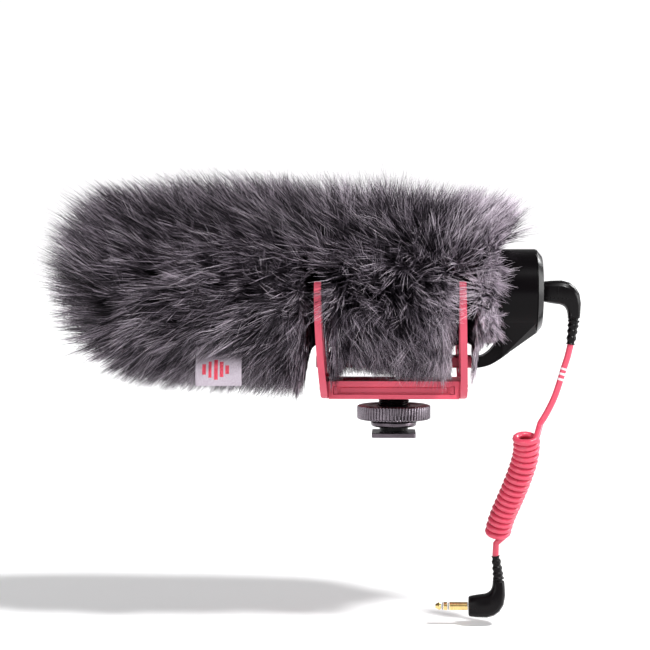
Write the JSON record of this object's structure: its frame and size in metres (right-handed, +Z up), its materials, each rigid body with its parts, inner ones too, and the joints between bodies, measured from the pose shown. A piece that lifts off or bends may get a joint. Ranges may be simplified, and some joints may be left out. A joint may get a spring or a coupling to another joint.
{
  "type": "furry windscreen",
  "caption": "Long-pile fur windscreen fitted over a camera-top shotgun microphone, with its lyre cradle, knurled shoe lock, right-angle plug and curly lead.",
  "frame": {"origin": "centre of the shoe foot's underside", "axes": "+Z up along the threaded stud, +X towards the microphone's rear and its plug, +Y across"},
  "size_m": [0.2134, 0.082, 0.1799],
  "materials": {
    "red_elastomer": "satin, moulded",
    "red_cord": "smooth, slightly glossy",
    "black_plastic": "fine matt moulding",
    "black_metal": "black anodised, satin",
    "black_rubber": "matt",
    "steel": "turned",
    "gold_contact": "gold plated",
    "board_green": "solder resist",
    "grey_foam": "open-cell foam",
    "knit_backing": "knitted backing",
    "grey_fur": "long mixed grey pile",
    "white_label": "woven satin tape"
  },
  "bodies": {
    "cradle": {"shoe_foot": "black_metal", "threaded_stud": "black_plastic", "stud_screw": "steel", "cradle_base": "red_elastomer", "front_lyre": "red_elastomer", "rear_lyre": "red_elastomer", "front_screw_near": "steel", "front_screw_far": "steel", "rear_screw_near": "steel", "rear_screw_far": "steel"},
    "clamp_ring": {"clamp_washer": "black_metal"},
    "wheel": {"lock_wheel": "black_metal"},
    "microphone": {"carriage_rail": "red_elastomer", "rail_screw": "steel", "rear_housing": "black_plastic", "rear_cap": "black_plastic", "jack_ring": "steel", "jack_socket": "black_plastic", "circuit_board": "board_green", "input_capacitor": "steel", "output_capacitor": "steel", "amplifier_chip": "black_plastic", "input_transistor": "black_plastic", "capsule": "steel", "capsule_boot": "black_rubber", "signal_wire": "black_rubber", "ground_wire": "black_rubber", "mic_tube": "black_metal", "tube_nose_mesh": "black_metal", "tube_collar": "black_rubber"},
    "foam": {"foam_windshield": "grey_foam"},
    "windscreen": {"windscreen_sleeve": "knit_backing", "nose_panel": "knit_backing", "hem_elastic": "knit_backing", "fur_front": "grey_fur", "fur_middle": "grey_fur", "fur_rear": "grey_fur", "side_label": "white_label"},
    "lead": {"plug_body": "black_rubber", "strain_relief": "black_rubber", "sleeve_contact": "gold_contact", "rear_insulator": "black_rubber", "ring_contact": "gold_contact", "front_insulator": "black_rubber", "tip_contact": "gold_contact", "lead_upper": "red_cord", "lead_coil": "red_cord", "lead_tail": "red_cord", "end_plug_body": "black_rubber", "end_strain_relief": "black_rubber", "end_sleeve_contact": "gold_contact", "end_rear_insulator": "black_rubber", "end_ring_contact": "gold_contact", "end_front_insulator": "black_rubber", "end_tip_contact": "gold_contact"}
  },
  "joints": [
    {"name": "clamp_travel", "type": "slide", "parent": "cradle", "child": "clamp_ring", "axis": [0, 0, 1], "range_m": [-0.0015, 0.003]},
    {"name": "wheel_turn", "type": "hinge", "parent": "clamp_ring", "child": "wheel", "pos_m": [0, 0, 0.0099], "axis": [0, 0, 1], "range_deg": [-541, 1081]},
    {"name": "suspension", "type": "slide", "parent": "cradle", "child": "microphone", "axis": [1, 0, 0], "range_m": [-0.0022, 0.0022], "stiffness_N_per_m": 455},
    {"name": "foam_pull", "type": "slide", "parent": "microphone", "child": "foam", "axis": [-1, 0, 0], "range_m": [0, 0.14]},
    {"name": "windscreen_pull", "type": "slide", "parent": "foam", "child": "windscreen", "axis": [-1, 0, 0], "range_m": [0, 0.152], "deforming": ["fur_middle", "fur_rear"]},
    {"name": "plug_pull", "type": "slide", "parent": "microphone", "child": "lead", "axis": [1, 0, 0], "range_m": [0, 0.016]}
  ],
  "couplings": [
    {"joint": "wheel_turn", "follows": "clamp_travel", "rad_per_m": 6283.2}
  ]
}
